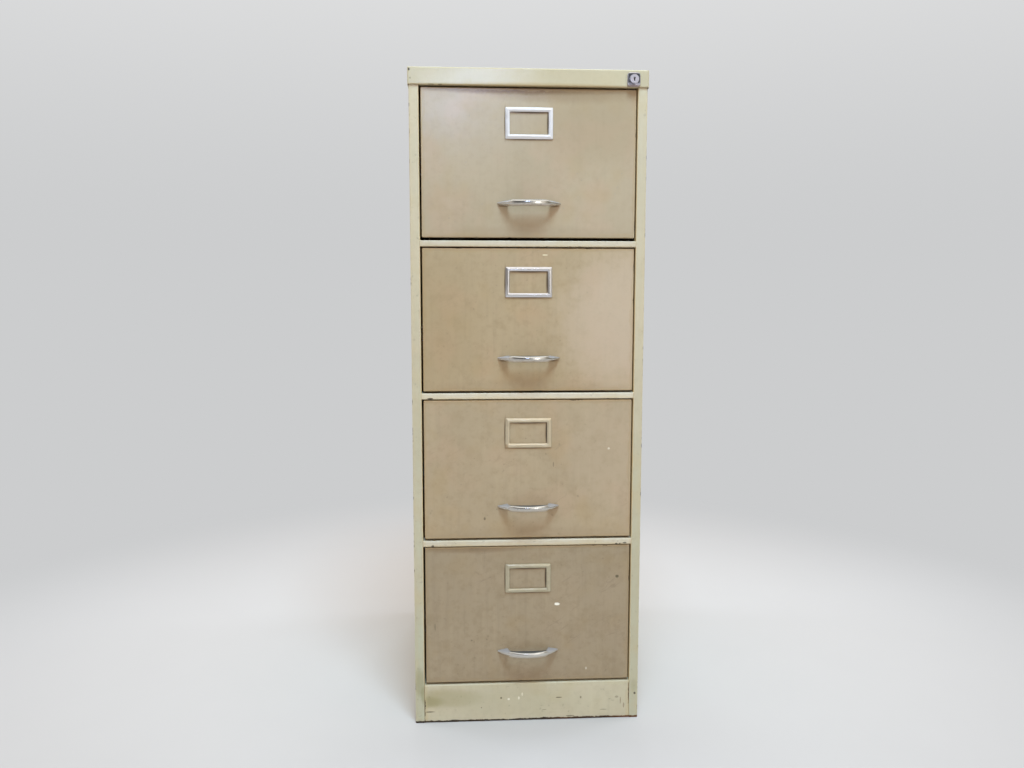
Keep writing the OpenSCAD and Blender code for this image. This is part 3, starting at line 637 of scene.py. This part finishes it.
# %% Metals
def plated(name, colour, rough, tarnish_and_sheen=None, tarnish_and_sheen_share=0.0, seed=0, films=()):
    """Plating with smears and patches that are no longer metal: tarnish, and on the first label frame a
    painted white reflection. Films are laid over it, dirt and painted light among them: each is a function
    from the x, y and z wires to a mask, a colour and a strength."""
    material, place = new_finish(name)
    axes = coordinates(place)
    own = shifted(place, seed)
    smear = noise(stretched(own, 60.0, 60.0, 240.0), 1.0, 3.0)
    tone = blend(colour, tint(colour, 0.80), rise(smear, 0.5, 0.85) * 0.5)
    dull = rough + rise(smear, 0.4, 0.8) * 0.08
    metal = 1.0
    if tarnish_and_sheen:
        film = rise(noise(own, 60.0, 2.0, 0.5), 0.65 - tarnish_and_sheen_share, 1.35 - tarnish_and_sheen_share)
        tone = blend(tone, tarnish_and_sheen, film * 0.85)
        dull = dull + film * 0.20
        metal = 1 - film * 0.8
    for mask_of, film_colour, strength in films:
        mask = mask_of(axes) * strength
        tone = blend(tone, film_colour, mask)
        metal = metal - mask * metal
        dull = dull + mask * 0.25
    close_finish(place.node("BsdfPrincipled", {"Base Color": tone, "Metallic": metal, "Roughness": dull}))
    return material


BROWN = rgb(120, 96, 68)
CHROME = rgb(212, 210, 204)
# The first frame's plating is mostly covered by a white film that is no longer metal: a painted bright
# reflection.
label_white_reflection = plated("label_white_reflection", rgb(240, 238, 238), 0.22, rgb(224, 222, 222), 0.64, 42)
label_chrome = plated("label_chrome", rgb(226, 224, 224), 0.18, BROWN, 0.02, 47)


def stained_corner(axes):
    """A brown stain at the lower left corner of the third frame."""
    return rise(apart_from(axes, (-45, 581), (7, 6)), 1.0, 0.0)


label_yellowed = plated("label_yellowed", rgb(222, 208, 180), 0.28, rgb(206, 190, 156), 0.40, 43,
                        [(stained_corner, rgb(150, 112, 64), 0.6)])
label_bronze = plated("label_bronze", rgb(204, 196, 170), 0.30, rgb(178, 166, 136), 0.40, 44)
zinc = plated("zinc", rgb(178, 180, 182), 0.38, rgb(150, 148, 140), 0.45, 46)
ZINC_NODES = ("case_channels", "drawer_channels", "cradles", "file_rails", "handle_screws", "lock_catch",
              "lock_bar_", "lock_hooks", "lock_spring", "uprights")
for name in nodes:
    if (name + "_").startswith(ZINC_NODES):
        dress(name, zinc)
print("zinc pieces:", sum(1 for name in nodes if (name + "_").startswith(ZINC_NODES)))

# %% Dirt, rust and painted shade round the lock
LOCK_LOW, LOCK_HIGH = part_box("lock_housing")
LOCK_MIDDLE = (LOCK_LOW + LOCK_HIGH) / 2
BAND_INNER = 9.7 * MM
BAND_OUTER = 11.2 * MM


def lock_groove_dirt_and_shade(axes):
    """Dark grey in the groove between the round collar and the square rim, least along the bottom: dirt, and
    painted shade and dark reflection on the groove's slopes.
    """
    across = axes[0] - LOCK_MIDDLE.x
    up = axes[2] - LOCK_MIDDLE.z
    radius = across.math("SQRT", across * across + up * up)
    square = across.math("MAXIMUM", abs(across), abs(up))
    band = rise(radius, BAND_INNER - 0.5 * MM, BAND_INNER) * rise(square, BAND_OUTER + 0.6 * MM, BAND_OUTER)
    return band * rise(up, -9 * MM, -4 * MM)


def lock_rust(axes):
    """Rust that has run down to the lower rim."""
    return rise(axes[2] - LOCK_MIDDLE.z, -8.5 * MM, -12 * MM)


def keyhole_shade(axes):
    """The slot for the key in the middle of the plug, wider towards its top, painted dark for the shade
    inside it.
    """
    up = axes[2] - LOCK_MIDDLE.z
    across = rise(abs(axes[0] - LOCK_MIDDLE.x) - up * 0.14, 1.6 * MM, 1.2 * MM)
    return across * rise(abs(up + 0.6 * MM), 4.0 * MM, 3.4 * MM)


lock_chrome = plated("lock_chrome", rgb(206, 204, 214), 0.30, rgb(120, 110, 96), 0.02, 45,
                     [(lock_groove_dirt_and_shade, rgb(46, 46, 48), 0.95), (lock_rust, rgb(126, 92, 70), 0.60),
                      (keyhole_shade, rgb(24, 20, 30), 0.95)])
for name in ("lock_barrel", "lock_plug"):
    dress(name, lock_chrome)
print("lock middle", [round(v / MM, 1) for v in LOCK_MIDDLE])

# %% Nylon rollers
NYLON_GRAIN = 0.01 * MM


def nylon_finish():
    """Off-white nylon with grey grease smeared on it."""
    material, place = new_finish("nylon")
    grease = rise(noise(place, 140.0, 3.0, 0.6), 0.45, 0.75)
    tone = blend(rgb(214, 208, 190), rgb(112, 106, 94), grease * 0.6)
    height = noise(place, 800.0, 1.0) * NYLON_GRAIN
    bump = place.node("Bump", {"Strength": 1.0, "Distance": 1.0, "Height": height})
    rough = 0.55 - grease * 0.2
    close_finish(place.node("BsdfPrincipled", {"Base Color": tone, "Roughness": rough, "Normal": bump}))
    return material


nylon = nylon_finish()
for number in DRAWERS:
    dress(f"cradle_rollers_{number}", nylon)
print("rollers dressed:", len(DRAWERS))

# %% [markdown]
# ## Making pieces from rings
# A bow handle, a stamped frame and a lock bezel are all skins over a row of rings: a section that changes
# along its way. Subdividing a rough block could give them too, but rings put every point where a real size
# says.

# %% Skins and pieces
def skin(mesh, rings, loop=False):
    """Joins each ring of points to the next. A loop joins the last to the first. Other skins end flat."""
    rows = [[mesh.verts.new(point) for point in ring] for ring in rings]
    following = rows[1:] + rows[:1] if loop else rows[1:]
    for row, beyond in zip(rows, following):
        for k in range(len(row)):
            mesh.faces.new((row[k - 1], row[k], beyond[k], beyond[k - 1]))
    if not loop:
        mesh.faces.new(rows[0])
        mesh.faces.new(list(reversed(rows[-1])))


def make_piece(name, mesh, material, body, crease=40):
    """Turns a skin into a smooth object that rides on a body, with creases kept sharp."""
    bmesh.ops.recalc_face_normals(mesh, faces=mesh.faces)
    for face in mesh.faces:
        face.smooth = True
    for edge in mesh.edges:
        edge.smooth = edge.calc_face_angle(0.0) < math.radians(crease)
    data = bpy.data.meshes.new(name)
    mesh.to_mesh(data)
    mesh.free()
    data.materials.append(material)
    made = bpy.data.objects.new(name, data)
    scene.collection.objects.link(made)
    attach(made, body)
    return made


# %% [markdown]
# ## Bow handles
# Each handle is one cast bow: two pads that taper to the front lie on it at the ends, and between them the
# bar springs out in a shallow arc. Its back is straight, with rounded corners, and leaves room for fingers.
# The section is an oval that is squarer at the back. The plating carries a painted warm reflection of the
# floor on its lower half, a painted dark reflection along the bar's top, and a dull grey film on the pads'
# tops that is partly a painted reflection of the sky.

# %% Make the handles
FOOT_LENGTH = 21 * MM
CORNER_LENGTH = 9 * MM
BAR_THICKNESS = 13.5 * MM
TIP_THICKNESS = 1.2 * MM
TIP_FADE = 0.75
TIP_CURVE = 1.5
HANDLE_STATIONS = 128
SECTION_POINTS = 36
FACE_SQUARENESS = 2.7
BACK_SQUARENESS = 6.0
# How much of the section lies behind its highest line: half of it on the bar, and hardly any on the pads.
BAR_BACK = 0.5
PAD_BACK = 0.06
# The lower handles are the most used, and their plating is the dullest.
HANDLE_ROUGHNESS = {1: 0.15, 2: 0.17, 3: 0.22, 4: 0.28}


def past(value, start, end):
    """How far a value lies from start to end, from 0 to 1."""
    return min(max((value - start) / (end - start), 0.0), 1.0)


def handle_section(along, half, reach, tall):
    """Inner and outer depth, depth of the highest line, and height of the bow, so far from its middle."""
    away = abs(along)
    sag = reach - TIP_THICKNESS
    radius = (half * half + sag * sag) / (2 * sag)
    outer = reach - radius + math.sqrt(radius * radius - away * away)
    foot = half - FOOT_LENGTH
    straight = foot - CORNER_LENGTH
    inner = (reach - BAR_THICKNESS) * math.sqrt(1 - past(away, straight, foot) ** 2)
    crest = inner + (outer - inner) * (BAR_BACK + (PAD_BACK - BAR_BACK) * past(away, straight, foot))
    height = tall * (1 - TIP_FADE * past(away, straight, half) ** TIP_CURVE)
    return inner, outer, crest, height


def oval_point(turn, squareness):
    """A point on an oval of half size 1 that is squarer the higher its squareness."""
    across, up = math.cos(turn), math.sin(turn)
    return (math.copysign(abs(across) ** (2 / squareness), across),
            math.copysign(abs(up) ** (2 / squareness), up))


def make_handle(number):
    """A drawer's bow handle, in the box of the plain one that it replaces, with the films on its plating."""
    low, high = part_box(f"handle_{number}")
    middle = (low + high) / 2
    half, reach, tall = (high.x - low.x) / 2, high.y - low.y, high.z - low.z
    mesh = bmesh.new()
    rings = []
    for station in range(HANDLE_STATIONS + 1):
        along = half * math.sin(math.pi / 2 * (2 * station / HANDLE_STATIONS - 1))
        inner, outer, crest, height = handle_section(along, half, reach, tall)
        ring = []
        for k in range(SECTION_POINTS):
            turn = 2 * math.pi * k / SECTION_POINTS
            deep, up = oval_point(turn, FACE_SQUARENESS if math.cos(turn) > 0 else BACK_SQUARENESS)
            depth = crest + deep * (outer - crest if deep > 0 else crest - inner)
            ring.append((middle.x + along, high.y - depth, middle.z + up * height / 2))
        rings.append(ring)
    skin(mesh, rings)

    # A painted warm reflection of the floor on the lower half.
    def warm_floor_reflection(axes):
        return rise(axes[2] - middle.z, 1.0 * MM, -5.0 * MM)

    foot = half - FOOT_LENGTH

    def facing_up(axes):
        return coordinates(axes[0].node("NewGeometry", out=1))[2]

    # A painted dark reflection along the top of the bar, between the pads.
    def bar_top_dark_reflection(axes):
        return rise(facing_up(axes), 0.70, 0.93) * rise(abs(axes[0] - middle.x), foot, foot - 6 * MM)

    # A dull grey film on the tops of the pads, partly a painted reflection of the sky.
    def pad_tops_dull_and_sky(axes):
        return rise(facing_up(axes), 0.15, 0.60) * rise(abs(axes[0] - middle.x), foot - 6 * MM, foot)

    chrome = plated(f"handle_chrome_{number}", CHROME, HANDLE_ROUGHNESS[number], BROWN, 0.02, 40 + number,
                    [(warm_floor_reflection, rgb(172, 152, 122), 0.50), (bar_top_dark_reflection, rgb(36, 38, 34), 0.90),
                     (pad_tops_dull_and_sky, rgb(146, 145, 150), 0.62)])
    piece = make_piece(f"bow_handle_{number}", mesh, chrome, f"drawer_{number}", 60)
    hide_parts(f"handle_{number}")
    return piece


handles = [make_handle(number) for number in DRAWERS]
print("handles:", [len(piece.data.vertices) for piece in handles], "points each")

# %% [markdown]
# ## Label frames
# A label frame is stamped from sheet: a rib like a low roof, steeper inside, runs round a window. Its outer
# edge is turned down on to the front, and its inner edge is lifted to hold a card, which slides in from the
# right. One rib section is swept round, with three rings at each corner: one on either border and one on
# the mitre between them, so that the borders stay straight and the light on them even. On the right the
# outer edge stays lifted: the card's slot.

# %% Make the label frames
CARD_GAP = 1.2 * MM
BORDER = 8.4 * MM
RIB_POINTS = 20
RIDGE = 4.8 * MM
OUTER_EDGE = 2.0 * MM
INNER_EDGE = 2.4 * MM
CORNER = 1.6 * MM
CROWN = 0.6 * MM
LIP = 1.4 * MM
EDGE_SOFTNESS = 0.35 * MM
# The share of a corner's radius by which its middle lies inside the sharp corner.
MITRE_IN = 0.29
LABEL_FINISH = {1: (label_white_reflection, "label_chrome"), 2: (label_chrome, "label_chrome"),
                3: (label_yellowed, "label_yellowed"), 4: (label_bronze, "label_bronze")}


def rib_section(thick, lifted):
    """Distance in from the outer edge and height off the front, round the rib's section."""
    foot = CARD_GAP if lifted else 0.0
    outer_slope = (thick - OUTER_EDGE) / (math.hypot(RIDGE, CROWN) - CROWN)
    inner_slope = (thick - INNER_EDGE) / (math.hypot(BORDER - RIDGE, CROWN) - CROWN)
    rib = []
    for k in range(RIB_POINTS + 1):
        across = BORDER * k / RIB_POINTS
        slope = outer_slope if across < RIDGE else inner_slope
        rib.append((across, thick - slope * (math.hypot(across - RIDGE, CROWN) - CROWN)))
    return [(0.0, foot)] + rib + [(BORDER, CARD_GAP), (LIP, CARD_GAP), (LIP, foot)]


def make_label_frame(number):
    """A drawer's label frame: the rib's section swept round the window, with its corners a little rounded."""
    low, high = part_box(f"label_frame_{number}")
    thick = high.y - low.y
    corners = [(low.x, low.z, 1, 1), (high.x, low.z, -1, 1),
               (high.x, high.z, -1, -1), (low.x, high.z, 1, -1)]
    rings = []
    for place, (x, z, in_x, in_z) in enumerate(corners):
        at_right = in_x < 0
        on_level = (x + in_x * CORNER, z, False)
        on_upright = (x, z + in_z * CORNER, at_right)
        mitre = (x + in_x * CORNER * MITRE_IN, z + in_z * CORNER * MITRE_IN, at_right)
        before, after = (on_level, on_upright) if place % 2 else (on_upright, on_level)
        for ring_x, ring_z, lifted in (before, mitre, after):
            rings.append([(ring_x + in_x * across, high.y - up, ring_z + in_z * across)
                          for across, up in rib_section(thick, lifted)])
    mesh = bmesh.new()
    skin(mesh, rings, loop=True)
    finish, slot = LABEL_FINISH[number]
    piece = make_piece(f"label_holder_{number}", mesh, finish, f"drawer_{number}", 35)
    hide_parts(f"label_frame_{number}")
    soften = piece.modifiers.new("soft_edges", "BEVEL")
    soften.width = EDGE_SOFTNESS
    soften.segments = 2
    soften.limit_method = "ANGLE"
    soften.angle_limit = math.radians(40)
    return piece


labels = [make_label_frame(number) for number in DRAWERS]
print("label frames:", [len(piece.data.polygons) for piece in labels], "faces each")

# %% [markdown]
# ## The lock's bezel
# The lock sits in a die-cast bezel: a cushion-shaped square rim, a shallow groove inside it, and a round
# collar that guides the barrel, with a sleeve through the lip of the cap. Its rings start as a rounded
# square and end as a circle, and that one blend makes the whole form.

# %% Make the bezel
BEZEL_POINTS = 64
BEZEL_SQUARENESS = 5.0
COLLAR_RADIUS = 9.6 * MM
COLLAR_CHAMFER = 0.3 * MM
BARREL_WALL = 2.5 * MM
BARREL_CLEARANCE = 0.25 * MM
SLEEVE_WALL = 1.0 * MM
# Each row is how far out it lies as a share of the bezel's reach, its size as a share of the square, and how
# round it is.
BEZEL_ROWS = ((0.0, 1.0, 0.0), (0.45, 1.0, 0.0), (0.62, 0.97, 0.0), (0.72, 0.92, 0.05), (0.72, 0.88, 0.12),
              (0.60, 0.86, 0.30), (0.52, 0.84, 0.62), (0.58, 0.82, 0.90), (0.85, 0.80, 1.0))


def make_bezel():
    """The bezel, from the sleeve's back over the rim and groove to the collar. Gives its bore's radius."""
    lip_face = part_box("top_cap")[0].y
    half_w = (LOCK_HIGH.x - LOCK_LOW.x) / 2
    half_h = (LOCK_HIGH.z - LOCK_LOW.z) / 2
    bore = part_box("lock_plug")[1].x - LOCK_MIDDLE.x + BARREL_WALL + BARREL_CLEARANCE
    proud = lip_face - LOCK_LOW.y

    def ring(depth, share, roundness, radius):
        points = []
        for k in range(BEZEL_POINTS):
            turn = 2 * math.pi * k / BEZEL_POINTS
            across, up = oval_point(turn, BEZEL_SQUARENESS)
            x = (1 - roundness) * across * half_w * share + roundness * math.cos(turn) * radius
            z = (1 - roundness) * up * half_h * share + roundness * math.sin(turn) * radius
            points.append((LOCK_MIDDLE.x + x, lip_face - depth, LOCK_MIDDLE.z + z))
        return points

    back = lip_face - LOCK_HIGH.y
    sleeve = bore + SLEEVE_WALL
    rings = [ring(back, 1, 1, bore), ring(back, 1, 1, sleeve), ring(0, 1, 1, sleeve)]
    rings += [ring(proud * out, share, roundness, COLLAR_RADIUS) for out, share, roundness in BEZEL_ROWS]
    rings += [ring(proud, 1, 1, COLLAR_RADIUS - COLLAR_CHAMFER), ring(proud, 1, 1, bore)]
    mesh = bmesh.new()
    skin(mesh, rings, loop=True)
    piece = make_piece("lock_bezel", mesh, lock_chrome, "case", 50)
    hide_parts("lock_housing")
    return bore


print("bezel bore, radius", round(make_bezel() / MM, 2), "mm")

# %% [markdown]
# ## The lock's spring
# A coil behind the barrel's arm pushes the barrel back out. A rigid coil would stand in the arm's way when
# the barrel goes in.

# %% Make the spring
SPRING_TURNS = 6
SPRING_WIRE = 1.2 * MM
RINGS_PER_TURN = 16
WIRE_SIDES = 10


def make_spring():
    """The coil, one unbroken wire in the box of the plain one that it replaces."""
    low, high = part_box("lock_spring")
    middle = (low + high) / 2
    wire = SPRING_WIRE / 2
    radius = (high.x - low.x) / 2 - wire
    length = high.y - low.y - SPRING_WIRE
    last = SPRING_TURNS * RINGS_PER_TURN
    rings = []
    for k in range(last + 1):
        turn = 2 * math.pi * k / RINGS_PER_TURN
        along = low.y + wire + length * k / last
        ring = []
        for side in range(WIRE_SIDES):
            around = 2 * math.pi * side / WIRE_SIDES
            out = radius + wire * math.cos(around)
            ring.append((middle.x + out * math.cos(turn), along + wire * math.sin(around),
                         middle.z + out * math.sin(turn)))
        rings.append(ring)
    mesh = bmesh.new()
    skin(mesh, rings)
    piece = make_piece("lock_coil", mesh, zinc, "case", 60)
    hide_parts("lock_spring")
    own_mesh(piece)
    return piece


print("spring:", len(make_spring().data.vertices), "points")

# %% [markdown]
